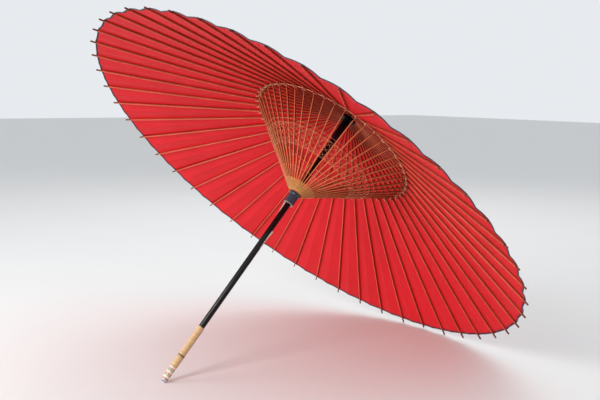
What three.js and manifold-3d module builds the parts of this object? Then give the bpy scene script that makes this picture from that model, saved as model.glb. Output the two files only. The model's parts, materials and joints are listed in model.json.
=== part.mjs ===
// An oil paper umbrella, standing open on a level floor: it leans on its ferrule and on two rib tips.
// Millimetres, +Z up. The origin is the middle of the bounding box's floor face.
//
// The umbrella is drawn along its own shaft first (ferrule tip at 0, head at the top), and the
// whole group is then leaned over until the ferrule and the two lowest rib tips stand level.
import * as THREE from "three";
import { mergeVertices } from "three/addons/utils/BufferGeometryUtils.js";
import Module from "manifold-3d";

const wasm = await Module();
wasm.setup();

// ---- driving dimensions, millimetres and degrees ----
const PAIRS = 24; // outer ribs that carry a joint of their own; one more sits between each two
const RIM_RADIUS = 520; // rib tips, measured from the shaft
const RIM_HEIGHT = 466; // rib tips, measured along the shaft from the ferrule tip
const OPEN_ANGLE = 68; // an outer rib's angle to the shaft when open
const CLEARANCE = 0.3; // between pieces that touch in the real umbrella

const SHAFT_RADIUS = 6.15;
const SHAFT_FOOT = 6.5;
const SHAFT_TOP = 700;
const FERRULE_TIP_RADIUS = 3.2;
const FERRULE_RADIUS = 6.4;
const FERRULE_LENGTH = 6.2;
const BAND_TOP = 34;
const BAND_RADIUS = 6.85;
const GRIP_TOP = 126;
const GRIP_RADIUS = 7.3;

const HEAD_HINGE_RADIUS = 13;
const HEAD_RADIUS = 17;
const HEAD_FLANGE_BOTTOM = 663;
const HEAD_TOP = 684;
const HEAD_BARREL_RADIUS = 9.4;
const HEAD_BARREL_BOTTOM = 648;
const CAP_RADIUS = 44;
const CAP_TOP = 709;

const RUNNER_HINGE_RADIUS = 10;
const RUNNER_HINGE_HEIGHT = 460;
const RUNNER_RADIUS = 13;
const RUNNER_WAIST_RADIUS = 10.9;
const RUNNER_BORE = 6.7;
const RUNNER_TOP = 466;
const RUNNER_SLOT_BOTTOM = 446;
const RUNNER_BOTTOM = 434;
const COLLAR_HEIGHT = 3;

const JOINT_DISTANCE = 184; // along an outer rib, from its head hinge to its stretcher's hinge
const JOINT_DEPTH = 4.2; // the stretcher's hinge below the rib's middle line
const RIB_WIDTH = 3;
const RIB_HALF_DEPTH = 2;
const TIP_BARE = 10.8; // rib tip left uncovered past the paper
const TONGUE_WIDTH = 1.2;
const SLOT_WIDTH = 1.9;
const STRETCHER_HALF_DEPTH = 1.7;
const RING_SHARE = 0.75; // where the joining ring crosses the stretchers, from the rib to the runner
const PAPER_START = 12; // the paper's upper edge, along a rib from its hinge
const PAPER_INNER = 2.3; // the canopy's two faces above a rib's middle line
const PAPER_OUTER = 2.9;

const LATCH_LENGTH = 43.7;
const LATCH_WIDTH = 1.8;
const LATCH_PROUD = 9.4; // the latch's free end, measured from the shaft's middle
const LOWER_LATCH_FOOT = 322.3;
const LOWER_LATCH_AZIMUTH = -65;
const UPPER_LATCH_AZIMUTH = 115;

// ---- derived ----
const rad = THREE.MathUtils.degToRad;
const open = rad(OPEN_ANGLE);
const step = (2 * Math.PI) / PAIRS;
const ribLength = (RIM_RADIUS - HEAD_HINGE_RADIUS) / Math.sin(open);
const headHingeHeight = RIM_HEIGHT + ribLength * Math.cos(open);
const paperEdge = ribLength - TIP_BARE;
const upperLatchFoot = RUNNER_BOTTOM - CLEARANCE - LATCH_LENGTH;

// A point given in an outer rib's own frame (along it, and out from its middle line), as radius and height.
function onRib(along, out) {
  return {
    r: HEAD_HINGE_RADIUS + along * Math.sin(open) + out * Math.cos(open),
    z: headHingeHeight - along * Math.cos(open) + out * Math.sin(open),
  };
}

const joint = onRib(JOINT_DISTANCE, -JOINT_DEPTH);
const stretcherLength = Math.hypot(joint.r - RUNNER_HINGE_RADIUS, joint.z - RUNNER_HINGE_HEIGHT);
// The stretcher's angle to the shaft, from straight down towards the shaft.
const stretcherAngle = Math.atan2(joint.r - RUNNER_HINGE_RADIUS, joint.z - RUNNER_HINGE_HEIGHT);

// ---- materials ----
function finish(color, roughness, metalness = 0) {
  return new THREE.MeshStandardMaterial({ color, roughness, metalness });
}

const bamboo = finish(0xb9813f, 0.5);
const splitBamboo = finish(0xc99a5b, 0.55);
const blackLacquer = finish(0x121013, 0.16);
const tealLacquer = finish(0x12303a, 0.2);
const rattan = finish(0xc9a983, 0.6);
const printedPaper = finish(0xc0483c, 0.65);
const silver = finish(0xc4c6c8, 0.28, 1);
const oiledPaper = finish(0xd8323a, 0.42);
const darkPaper = finish(0x23262e, 0.5);
const paleHorn = finish(0xd9c9a6, 0.4);

// ---- geometry helpers ----
function solidOf(geometry) {
  const bare = geometry.clone();
  bare.deleteAttribute("normal");
  bare.deleteAttribute("uv");
  const merged = mergeVertices(bare, 1e-4);
  return new wasm.Manifold(
    new wasm.Mesh({
      numProp: 3,
      vertProperties: merged.attributes.position.array,
      triVerts: new Uint32Array(merged.index.array),
    }),
  );
}

function geometryOf(solid) {
  const mesh = solid.getMesh();
  const geometry = new THREE.BufferGeometry();
  geometry.setAttribute("position", new THREE.BufferAttribute(mesh.vertProperties, 3));
  geometry.setIndex(new THREE.BufferAttribute(mesh.triVerts, 1));
  const faceted = geometry.toNonIndexed();
  faceted.computeVertexNormals();
  return faceted;
}

// A solid of revolution about +Z, from an outline of [radius, height] corners.
// The outline runs anticlockwise with the radius to the right and the height up.
function turned(outline, segments) {
  const points = outline.map(([r, z]) => new THREE.Vector2(r, z));
  return new THREE.LatheGeometry(points, segments).rotateX(Math.PI / 2);
}

// A ring of rectangular section round +Z.
function ring(inner, outer, bottom, top, segments) {
  const outline = [
    [inner, bottom],
    [outer, bottom],
    [outer, top],
    [inner, top],
    [inner, bottom],
  ];
  return turned(outline, segments);
}

// A bar along +X with a rectangular section at each station: [x, width, bottom, top].
function bar(stations) {
  const corners = stations.flatMap(([x, width, bottom, top]) => [
    [x, -width / 2, bottom],
    [x, width / 2, bottom],
    [x, width / 2, top],
    [x, -width / 2, top],
  ]);
  const last = corners.length - 4;
  const faces = [0, 2, 1, 0, 3, 2, last, last + 1, last + 2, last, last + 2, last + 3];
  for (let at = 0; at < last; at += 4)
    for (let side = 0; side < 4; side += 1) {
      const next = (side + 1) % 4;
      faces.push(at + side, at + next, at + 4 + next);
      faces.push(at + side, at + 4 + next, at + 4 + side);
    }
  const geometry = new THREE.BufferGeometry();
  geometry.setAttribute("position", new THREE.Float32BufferAttribute(corners.flat(), 3));
  geometry.setIndex(faces);
  const faceted = geometry.toNonIndexed();
  faceted.computeVertexNormals();
  return faceted;
}

// A block by its middle and its three sizes.
function block(x, y, z, sizeX, sizeY, sizeZ) {
  return new THREE.BoxGeometry(sizeX, sizeY, sizeZ).translate(x, y, z);
}

function mesh(name, geometry, material) {
  const made = new THREE.Mesh(geometry, material);
  made.name = name;
  return made;
}

function azimuthGroup(angle) {
  const group = new THREE.Group();
  group.rotation.z = angle;
  return group;
}

function pairAzimuth(index) {
  return step * (index + 0.5);
}

function betweenAzimuth(index) {
  return step * index;
}

// The same geometry turned about the shaft to each azimuth, as manifold solids.
function repeated(geometry, azimuthOf) {
  return Array.from({ length: PAIRS }, (_, index) =>
    solidOf(geometry.clone().rotateZ(azimuthOf(index))),
  );
}

// Radial slots for the rib ends, cut into a hub: one wedge-free block per jointed rib.
function slotted(body, inner, outer, bottom, top) {
  const cutter = block(
    (inner + outer) / 2,
    0,
    (bottom + top) / 2,
    outer - inner,
    SLOT_WIDTH,
    top - bottom,
  );
  const cuts = wasm.Manifold.union(repeated(cutter, pairAzimuth));
  return geometryOf(solidOf(body).subtract(cuts));
}

// ---- shaft, grip and foot ----
function latchSlot(foot, azimuth) {
  const bottom = foot - 0.6;
  const top = foot + LATCH_LENGTH + 0.6;
  const inner = 0.5;
  const outer = SHAFT_RADIUS + 1;
  const cut = block(
    (inner + outer) / 2,
    0,
    (bottom + top) / 2,
    outer - inner,
    LATCH_WIDTH + 2 * CLEARANCE,
    top - bottom,
  );
  return solidOf(cut.rotateZ(rad(azimuth)));
}

function shaft() {
  const stick = turned(
    [
      [0, SHAFT_FOOT],
      [SHAFT_RADIUS, SHAFT_FOOT],
      [SHAFT_RADIUS, SHAFT_TOP - 2],
      [SHAFT_RADIUS - 2, SHAFT_TOP],
      [0, SHAFT_TOP],
    ],
    32,
  );
  const slots = latchSlot(LOWER_LATCH_FOOT, LOWER_LATCH_AZIMUTH).add(
    latchSlot(upperLatchFoot, UPPER_LATCH_AZIMUTH),
  );
  return mesh("shaft", geometryOf(solidOf(stick).subtract(slots)), blackLacquer);
}

function gripWrap() {
  const inner = SHAFT_RADIUS + CLEARANCE;
  const outline = [
    [inner, BAND_TOP + CLEARANCE],
    [GRIP_RADIUS - 0.4, BAND_TOP + CLEARANCE],
    [GRIP_RADIUS, BAND_TOP + 1.2],
    [GRIP_RADIUS, GRIP_TOP - 1],
    [GRIP_RADIUS - 0.4, GRIP_TOP],
    [inner, GRIP_TOP],
    [inner, BAND_TOP + CLEARANCE],
  ];
  return mesh("grip_wrap", turned(outline, 36), rattan);
}

function paperBand() {
  const inner = SHAFT_RADIUS + CLEARANCE;
  return mesh("paper_band", ring(inner, BAND_RADIUS, SHAFT_FOOT + 0.2, BAND_TOP, 36), printedPaper);
}

function ferrule() {
  const outline = [
    [0, 0],
    [FERRULE_TIP_RADIUS, 0],
    [5.4, 2.2],
    [FERRULE_RADIUS, 5],
    [FERRULE_RADIUS, FERRULE_LENGTH],
    [0, FERRULE_LENGTH],
  ];
  return mesh("ferrule", turned(outline, 32), silver);
}

// A springy sliver let into the shaft: its foot is flush and its free end stands proud.
function latch(name, foot, azimuth) {
  const outline = [
    [2.2, 0],
    [5.7, 0],
    [5.95, 8],
    [LATCH_PROUD, LATCH_LENGTH - 4],
    [LATCH_PROUD, LATCH_LENGTH],
    [6.4, LATCH_LENGTH],
    [3.6, 12],
  ];
  const shape = new THREE.Shape(outline.map(([r, z]) => new THREE.Vector2(r, z)));
  const sliver = new THREE.ExtrudeGeometry(shape, { depth: LATCH_WIDTH, bevelEnabled: false });
  sliver.translate(0, 0, -LATCH_WIDTH / 2).rotateX(Math.PI / 2);
  const hinge = new THREE.Group();
  hinge.name = name + "_hinge";
  hinge.position.set(4, 0, foot + 2);
  sliver.translate(-4, 0, -2);
  hinge.add(mesh(name, sliver, paleHorn));
  return azimuthGroup(rad(azimuth)).add(hinge);
}

// ---- head ----
function headHub() {
  const bore = SHAFT_RADIUS + CLEARANCE;
  const outline = [
    [bore, HEAD_BARREL_BOTTOM],
    [HEAD_BARREL_RADIUS - 1, HEAD_BARREL_BOTTOM],
    [HEAD_BARREL_RADIUS, HEAD_BARREL_BOTTOM + 2],
    [HEAD_BARREL_RADIUS, HEAD_FLANGE_BOTTOM],
    [HEAD_RADIUS, HEAD_FLANGE_BOTTOM],
    [HEAD_RADIUS, HEAD_TOP - 5],
    [HEAD_RADIUS - 5, HEAD_TOP],
    [bore, HEAD_TOP],
    [bore, HEAD_BARREL_BOTTOM],
  ];
  const body = turned(outline, 48);
  const slotTop = headHingeHeight + 4.5;
  const slots = slotted(body, 10.2, HEAD_RADIUS + 2, HEAD_FLANGE_BOTTOM - 1, slotTop);
  return mesh("head_hub", slots, tealLacquer);
}

// The folded paper cap over the head: a thin shell whose skirt lies on the canopy.
function headCap() {
  const skirt = onRib((CAP_RADIUS - HEAD_HINGE_RADIUS) / Math.sin(open), PAPER_OUTER);
  const low = skirt.z + 0.5;
  const outline = [
    [CAP_RADIUS, low],
    [CAP_RADIUS + 0.5, low + 1.2],
    [26, low + 11.5],
    [19.4, low + 18],
    [12.6, low + 32],
    [10.6, low + 38],
    [11.4, CAP_TOP - 3],
    [7, CAP_TOP],
    [0, CAP_TOP],
    [0, CAP_TOP - 2],
    [7, CAP_TOP - 3],
    [8.8, low + 38],
    [11, low + 31],
    [18, low + 17],
    [22, low + 11.2],
    [CAP_RADIUS, low],
  ];
  return mesh("head_cap", turned(outline, 48), darkPaper);
}

// ---- runner ----
function runner() {
  const bottom = RUNNER_BOTTOM + COLLAR_HEIGHT + CLEARANCE;
  const outline = [
    [RUNNER_BORE, bottom],
    [RUNNER_WAIST_RADIUS, bottom],
    [RUNNER_WAIST_RADIUS, RUNNER_TOP - 9],
    [RUNNER_RADIUS, RUNNER_TOP - 7],
    [RUNNER_RADIUS, RUNNER_TOP - 1],
    [RUNNER_RADIUS - 1, RUNNER_TOP],
    [RUNNER_BORE, RUNNER_TOP],
    [RUNNER_BORE, bottom],
  ];
  const body = turned(outline, 48);
  const slots = slotted(body, 8.1, RUNNER_RADIUS + 2, RUNNER_SLOT_BOTTOM, RUNNER_TOP + 1);
  return mesh("runner", slots, tealLacquer);
}

function runnerCollar() {
  const top = RUNNER_BOTTOM + COLLAR_HEIGHT;
  const outline = [
    [RUNNER_BORE, RUNNER_BOTTOM],
    [10.5, RUNNER_BOTTOM],
    [11.1, RUNNER_BOTTOM + 0.8],
    [11.1, top - 0.8],
    [10.5, top],
    [RUNNER_BORE, top],
    [RUNNER_BORE, RUNNER_BOTTOM],
  ];
  return mesh("runner_collar", turned(outline, 48), paleHorn);
}

// ---- ribs and stretchers ----
// Stations of an outer rib: thin where it enters the head, wider past the stretcher's joint.
function ribStations(start, end, top) {
  const widths = [
    [start, 1.3, 1.2],
    [16, 1.4, 1.4],
    [60, 2.1, RIB_HALF_DEPTH],
    [250, RIB_WIDTH, RIB_HALF_DEPTH],
    [end, RIB_WIDTH, 1.6],
  ];
  return widths.map(([x, width, depth]) => [x, width, -depth, top ?? depth]);
}

// The two cheeks under a rib that hold the stretcher's tongue.
function jointCheeks() {
  const half = RIB_WIDTH / 2 + 0.2;
  const low = -JOINT_DEPTH - 2.4;
  const lug = bar([
    [JOINT_DISTANCE - 10, 2 * half, -RIB_HALF_DEPTH, -1],
    [JOINT_DISTANCE - 6, 2 * half, low, -1],
    [JOINT_DISTANCE + 6, 2 * half, low, -1],
    [JOINT_DISTANCE + 10, 2 * half, -RIB_HALF_DEPTH, -1],
  ]);
  const gap = block(JOINT_DISTANCE, 0, low / 2 - 1.75, 30, SLOT_WIDTH, -low);
  return solidOf(lug).subtract(solidOf(gap));
}

function ribGeometry() {
  const strip = solidOf(bar(ribStations(-1.8, ribLength)));
  return geometryOf(strip.add(jointCheeks()));
}

// Stations of a stretcher between two distances from its upper hinge, tongues at the hinges.
function stretcherStations(start, end) {
  const lower = stretcherLength;
  return [
    [start, TONGUE_WIDTH, -1.4, 1.4],
    [11, TONGUE_WIDTH, -1.5, 1.5],
    [16, 2.4, -STRETCHER_HALF_DEPTH, STRETCHER_HALF_DEPTH],
    [lower - 30, 2, -STRETCHER_HALF_DEPTH, STRETCHER_HALF_DEPTH],
    [lower - 22, TONGUE_WIDTH, -1.4, 1.4],
    [end, TONGUE_WIDTH, -1.4, 1.4],
  ];
}

function hingeFrame(name) {
  const hinge = new THREE.Group();
  hinge.name = name;
  hinge.position.set(HEAD_HINGE_RADIUS, 0, headHingeHeight);
  hinge.rotation.y = Math.PI / 2 - open;
  return hinge;
}

// The turn from an outer rib's own frame to its stretcher's.
const stretcherTurn = open + stretcherAngle;

function pairedRibs() {
  const ribs = new THREE.Group();
  const ribShape = ribGeometry();
  const stretcherShape = bar(stretcherStations(-1.5, stretcherLength + 1.4));
  for (let index = 0; index < PAIRS; index += 1) {
    const label = String(index + 1).padStart(2, "0");
    const hinge = hingeFrame("rib_hinge_" + label);
    hinge.add(mesh("rib_" + label, ribShape, bamboo));
    const knee = new THREE.Group();
    knee.name = "stretcher_hinge_" + label;
    knee.position.set(JOINT_DISTANCE, 0, -JOINT_DEPTH);
    knee.rotation.y = stretcherTurn;
    knee.add(mesh("stretcher_" + label, stretcherShape, splitBamboo));
    hinge.add(knee);
    ribs.add(azimuthGroup(pairAzimuth(index)).add(hinge));
  }
  return ribs;
}

// ---- canopy: oiled paper with the in-between ribs glued under it ----
function paperShell() {
  const loop = [
    [PAPER_START, PAPER_INNER],
    [paperEdge, PAPER_INNER],
    [paperEdge, PAPER_OUTER],
    [PAPER_START, PAPER_OUTER],
    [PAPER_START, PAPER_INNER],
  ];
  const outline = loop.map(([along, out]) => {
    const at = onRib(along, out);
    return [at.r, at.z];
  });
  return turned(outline, 2 * PAIRS);
}

function canopy() {
  const strip = bar(ribStations(8, paperEdge - 0.2, PAPER_INNER + 0.3));
  strip.rotateY(Math.PI / 2 - open).translate(HEAD_HINGE_RADIUS, 0, headHingeHeight);
  const strips = wasm.Manifold.union(repeated(strip, betweenAzimuth));
  return mesh("canopy", geometryOf(solidOf(paperShell()).add(strips)), oiledPaper);
}

// The stretchers of the in-between ribs, tied together by a thread ring.
function betweenStretchers() {
  const short = bar(stretcherStations(-1.4, stretcherLength - 7));
  const bossAt = stretcherLength * RING_SHARE;
  const boss = block(bossAt, 0, 2.2, 2, 2, 1.6);
  const piece = geometryOf(solidOf(short).add(solidOf(boss)));
  piece.rotateY(stretcherTurn).translate(JOINT_DISTANCE, 0, -JOINT_DEPTH);
  piece.rotateY(Math.PI / 2 - open).translate(HEAD_HINGE_RADIUS, 0, headHingeHeight);
  const bossOut = STRETCHER_HALF_DEPTH + 0.9;
  const r = joint.r - bossAt * Math.sin(stretcherAngle) + bossOut * Math.cos(stretcherAngle);
  const z = joint.z - bossAt * Math.cos(stretcherAngle) - bossOut * Math.sin(stretcherAngle);
  const thread = ring(r - 0.5, r + 0.5, z - 0.5, z + 0.5, 2 * PAIRS);
  const tied = wasm.Manifold.union([...repeated(piece, betweenAzimuth), solidOf(thread)]);
  return mesh("between_stretchers", geometryOf(tied), splitBamboo);
}

// ---- assembly ----
const umbrella = new THREE.Group();
umbrella.add(shaft(), gripWrap(), paperBand(), ferrule(), headHub(), headCap(), runner());
umbrella.add(runnerCollar(), canopy(), betweenStretchers(), pairedRibs());
umbrella.add(latch("latch_lower", LOWER_LATCH_FOOT, LOWER_LATCH_AZIMUTH));
umbrella.add(latch("latch_upper", upperLatchFoot, UPPER_LATCH_AZIMUTH));

// The lean that brings the ferrule's rim level with the two lowest rib tips, either side of +X.
const half = step / 2;
const tip = onRib(ribLength, -1.6);
const tipReach = tip.r * Math.cos(half) + (RIB_WIDTH / 2) * Math.sin(half);
const lean = Math.atan2(tip.z, tipReach - FERRULE_TIP_RADIUS);
umbrella.rotation.y = lean;

const group = new THREE.Group();
group.add(umbrella);
group.updateMatrixWorld(true);
const box = new THREE.Box3().setFromObject(group, true);
umbrella.position.set(-(box.min.x + box.max.x) / 2, -(box.min.y + box.max.y) / 2, -box.min.z);

export default group;
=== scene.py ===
"""An oil paper umbrella, open and leaning.

It has a black lacquered shaft, bamboo ribs, threaded stretchers and red oiled paper.

Lengths are metres. Everything is drawn along the umbrella's own shaft first, with the ferrule's
tip at height 0, and place() leans it into the room.
"""

import json
import math

import bmesh
import bpy
import numpy as np
from mathutils import Euler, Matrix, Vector


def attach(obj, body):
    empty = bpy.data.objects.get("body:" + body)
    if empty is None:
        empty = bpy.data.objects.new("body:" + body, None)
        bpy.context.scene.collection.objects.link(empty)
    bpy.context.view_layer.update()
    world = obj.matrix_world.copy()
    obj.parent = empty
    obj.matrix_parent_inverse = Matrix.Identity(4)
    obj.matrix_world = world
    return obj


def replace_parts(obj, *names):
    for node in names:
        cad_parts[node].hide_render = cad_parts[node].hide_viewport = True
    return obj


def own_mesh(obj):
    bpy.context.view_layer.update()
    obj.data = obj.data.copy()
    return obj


bl_info = {
    "name": "Oil Paper Umbrella",
    "version": (1, 0, 0),
    "blender": (4, 5, 0),
    "location": "View3D > Sidebar > Umbrella",
    "description": "Builds an open oil paper umbrella piece by piece round its fixed frame",
    "category": "Add Mesh",
}

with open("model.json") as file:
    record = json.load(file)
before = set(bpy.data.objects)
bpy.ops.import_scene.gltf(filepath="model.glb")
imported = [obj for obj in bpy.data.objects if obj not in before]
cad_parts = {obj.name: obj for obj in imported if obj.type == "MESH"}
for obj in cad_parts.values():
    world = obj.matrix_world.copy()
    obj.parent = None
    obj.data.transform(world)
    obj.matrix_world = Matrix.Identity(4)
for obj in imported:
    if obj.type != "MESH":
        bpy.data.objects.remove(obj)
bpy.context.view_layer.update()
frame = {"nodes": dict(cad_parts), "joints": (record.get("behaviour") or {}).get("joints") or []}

# ---- the umbrella's own measurements, in metres, with heights from the ferrule's tip ----
PAIRS = 24  # jointed ribs; as many again stand between them
STEP = 2 * math.pi / PAIRS
OPEN = math.radians(68)  # between the shaft and an open rib
RIM_RADIUS = 0.520  # at the ribs' tips
RIM_HEIGHT = 0.466
HEAD_HINGE_RADIUS = 0.013
RUNNER_HINGE_RADIUS = 0.010
RUNNER_HINGE_HEIGHT = 0.460
JOINT_DISTANCE = 0.184  # along a rib, from the head's hinge to the stretcher's joint
JOINT_DEPTH = 0.0042  # from a rib's middle line in to that joint
RIB_START = -0.0012  # along a rib, just inside the head's hinge
RIB_NODES = (0.262, 0.431)  # along a rib, where the bamboo swells
TIP_BARE = 0.0108  # of each rib, past the paper
FLOOR_TRIM = 0.0052  # off the lowest rib, so that its neighbours carry the umbrella
PAPER_START = 0.012  # along a rib
PAPER_FACE = 0.0026  # out from a rib's middle line
RIM_BINDING = 0.0022  # width of the dark bound rim
HEM_RADIUS = 0.00115  # of the cord bound into it
RUNNER_TOP = 0.466
RUNNER_BOTTOM = 0.434
HEAD_BOTTOM = 0.663
HEAD_TOP = 0.684
CAP_TOP = 0.709
BAND_TOP = 0.034
GRIP_TOP = 0.126
DARK_TURN_TOP = 0.061  # of the wrap's one stained turn
THREAD_UV_STEP = 0.002  # of UV for each point of a thread
STRIPES_PER_METRE = 95
CHECKS_ROUND = 12
CHECKS_ALONG = 1190  # radians of check pattern for each metre

RIB_LENGTH = (RIM_RADIUS - HEAD_HINGE_RADIUS) / math.sin(OPEN)
HEAD_HINGE_HEIGHT = RIM_HEIGHT + RIB_LENGTH * math.cos(OPEN)
PAPER_EDGE = RIB_LENGTH - TIP_BARE

# The lean and the foot's place come from the frame: the runner slides straight down the shaft.
_slide = next(j for j in frame["joints"] if j["name"] == "runner_slide")
SHAFT_AXIS = -np.array(_slide["axis"], float) / np.linalg.norm(_slide["axis"])
LEAN_AXIS = np.array([SHAFT_AXIS[2], 0.0, -SHAFT_AXIS[0]])
SIDE_AXIS = np.array([0.0, 1.0, 0.0])
_hinge = next(j for j in frame["joints"] if j["name"] == "rib_hinge_01")
_lean_of_hinge = HEAD_HINGE_RADIUS * (
    math.cos(STEP / 2) * LEAN_AXIS + math.sin(STEP / 2) * SIDE_AXIS
)
FOOT = np.array(_hinge["pos_m"], float) - _lean_of_hinge - HEAD_HINGE_HEIGHT * SHAFT_AXIS


# ---- coordinates ----
def place(across, side, height):
    """Umbrella coordinates to the room: the foot, plus each coordinate along its own axis."""
    across, side, height = np.broadcast_arrays(across, side, height)
    return (
        FOOT
        + across[..., None] * LEAN_AXIS
        + side[..., None] * SIDE_AXIS
        + height[..., None] * SHAFT_AXIS
    )


def polar(radius, azimuth, height):
    """A point at a radius and azimuth round the shaft: radius times cosine and sine, placed."""
    return place(radius * np.cos(azimuth), radius * np.sin(azimuth), height)


def beside(radius, azimuth, height, tangential):
    """A polar point moved sideways, square to its azimuth, by the tangential distance."""
    x = radius * np.cos(azimuth) - tangential * np.sin(azimuth)
    y = radius * np.sin(azimuth) + tangential * np.cos(azimuth)
    return place(x, y, height)


def on_rib(along, out):
    """Radius and height of a point so far along a rib and so far out from its middle line."""
    radius = HEAD_HINGE_RADIUS + along * math.sin(OPEN) + out * math.cos(OPEN)
    height = HEAD_HINGE_HEIGHT - along * math.cos(OPEN) + out * math.sin(OPEN)
    return radius, height


JOINT_R, JOINT_Z = on_rib(JOINT_DISTANCE, -JOINT_DEPTH)
STRETCHER_LENGTH = math.hypot(JOINT_R - RUNNER_HINGE_RADIUS, JOINT_Z - RUNNER_HINGE_HEIGHT)
STRETCHER_ANGLE = math.atan2(JOINT_R - RUNNER_HINGE_RADIUS, JOINT_Z - RUNNER_HINGE_HEIGHT)


def on_stretcher(along, out):
    """Radius and height of a point so far down a stretcher from its rib and out from it."""
    radius = JOINT_R - along * math.sin(STRETCHER_ANGLE) + out * math.cos(STRETCHER_ANGLE)
    height = JOINT_Z - along * math.cos(STRETCHER_ANGLE) - out * math.sin(STRETCHER_ANGLE)
    return radius, height


def pair_azimuth(index):
    """The azimuth of the index-th jointed rib, half a step on from the lean's own plane."""
    return STEP * (index + 0.5)


def tangent(azimuth):
    """The room direction square to a rib's own plane."""
    return -math.sin(azimuth) * LEAN_AXIS + math.cos(azimuth) * SIDE_AXIS


def numbered(kind, index):
    """A piece's or body's name, counted from 01."""
    return f"{kind}_{index + 1:02d}"


# ---- mesh making ----
def grid_faces(rows, columns, wrap_rows=False, wrap_columns=False):
    """Quads between neighbouring grid points, as rows of four indices.

    A wrapped way joins its last points to its first.
    """
    i = np.arange(rows if wrap_rows else rows - 1)
    j = np.arange(columns if wrap_columns else columns - 1)
    i, j = np.meshgrid(i, j, indexing="ij")
    down, across = (i + 1) % rows, (j + 1) % columns
    corners = [i * columns + j, down * columns + j, down * columns + across, i * columns + across]
    return np.stack(corners, -1).reshape(-1, 4)


def add_object(name, data):
    """A new object that holds the data, linked into the scene at the origin."""
    made = bpy.data.objects.new(name, data)
    bpy.context.scene.collection.objects.link(made)
    return made


def add_mesh(name, points, faces, uv, finish, smooth=True):
    """Puts points, a list of faces and a UV per point into a new object."""
    mesh = bpy.data.meshes.new(name)
    mesh.from_pydata(points.reshape(-1, 3).tolist(), [], faces)
    layer = mesh.uv_layers.new(name="UVMap")
    loops = np.empty(len(mesh.loops), np.int32)
    mesh.loops.foreach_get("vertex_index", loops)
    layer.data.foreach_set("uv", uv.reshape(-1, 2)[loops].astype(np.float32).ravel())
    mesh.polygons.foreach_set("use_smooth", np.full(len(mesh.polygons), smooth))
    mesh.materials.append(finish)
    return add_object(name, mesh)


def close_up(piece, seams):
    """Turns a piece's faces outwards, after merging doubled seam and pole points if it has any."""
    work = bmesh.new()
    work.from_mesh(piece.data)
    if seams:
        bmesh.ops.remove_doubles(work, verts=work.verts, dist=1e-6)
    bmesh.ops.recalc_face_normals(work, faces=work.faces)
    work.to_mesh(piece.data)
    work.free()
    return piece


def rounded(outline, corner):
    """An outline of (radius, height) corners with each corner cut back by a small quarter turn.

    Each corner becomes three points: the two points a corner length before and after it, and the
    quadratic Bezier middle between them.
    """
    points = np.array(outline, float)
    before, after = np.roll(points, 1, 0) - points, np.roll(points, -1, 0) - points
    reach = np.minimum(np.linalg.norm(before, axis=1), np.linalg.norm(after, axis=1)) / 2.5
    cut = np.minimum(corner, reach)[:, None]
    first = points + before / np.linalg.norm(before, axis=1)[:, None] * cut
    last = points + after / np.linalg.norm(after, axis=1)[:, None] * cut
    middle = 0.25 * first + 0.5 * points + 0.25 * last
    return np.stack([first, middle, last], 1).reshape(-1, 2)


def turned(name, outline, finish, turns=96, closed=False, shape=None, smooth=True):
    """A profile of (radius, height) carried round the shaft.

    A closed profile makes a ring; an open one starts and ends on the shaft's own axis. turns is
    how many equal steps go round, or the azimuths themselves. shape, if given, returns the radius
    and height at each profile point and azimuth.
    """
    outline = np.asarray(outline, float)
    if np.ndim(turns) == 0:
        turns = np.linspace(0, 2 * np.pi, turns, endpoint=False)
    azimuth = np.asarray(turns, float)
    radius = np.repeat(outline[:, :1], len(azimuth), 1)
    height = np.repeat(outline[:, 1:], len(azimuth), 1)
    if shape is not None:
        radius, height = shape(radius, height, azimuth[None])
    points = polar(radius, azimuth[None], height)
    run = np.r_[0, np.cumsum(np.linalg.norm(np.diff(outline, axis=0), axis=1))]
    uv = np.stack(np.broadcast_arrays(azimuth[None] / (2 * np.pi), run[:, None]), -1)
    faces = grid_faces(*points.shape[:2], closed, True).tolist()
    return close_up(add_mesh(name, points, faces, uv, finish, smooth), seams=True)


def thicken(piece, thickness, shares=None, rim=None):
    """Gives a thin base its width with Solidify, scaled per point by shares.

    rim, if given, is the finish of the narrow faces along the base's own edge.
    """
    solid = piece.modifiers.new("width", "SOLIDIFY")
    solid.thickness = thickness
    solid.offset = 0.0
    solid.use_even_offset = False
    if rim is not None:
        piece.data.materials.append(rim)
        solid.material_offset_rim = 1
    if shares is not None:
        group = piece.vertex_groups.new(name="width")
        for share in np.unique(np.round(shares, 3)):
            where = np.flatnonzero(np.abs(shares - share) < 6e-4)
            group.add(where.tolist(), float(share), "REPLACE")
        solid.vertex_group = "width"


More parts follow.
